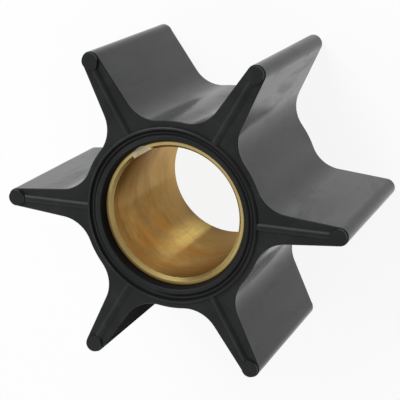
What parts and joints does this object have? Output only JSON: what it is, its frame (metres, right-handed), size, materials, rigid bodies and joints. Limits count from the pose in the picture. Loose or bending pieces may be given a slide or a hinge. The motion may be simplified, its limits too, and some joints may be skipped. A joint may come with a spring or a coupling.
{
  "type": "pump impeller",
  "caption": "Flexible pump impeller: radial rubber vanes with round tips, moulded on a brass bush with a keyed bore.",
  "frame": {"origin": "on the bore axis, at the level of the lower end's ring bead and buttons, which the impeller stands on", "axes": "+Z along the bore axis, out of the upper end; +X along the centreline of one vane"},
  "size_m": [0.0764, 0.0668, 0.0406],
  "materials": {
    "vane_rubber": "satin black neoprene moulding",
    "bush_brass": "machined brass, lightly tarnished"
  },
  "bodies": {
    "root": {"vane_body": "vane_rubber", "hub_bush": "bush_brass"}
  },
  "joints": []
}
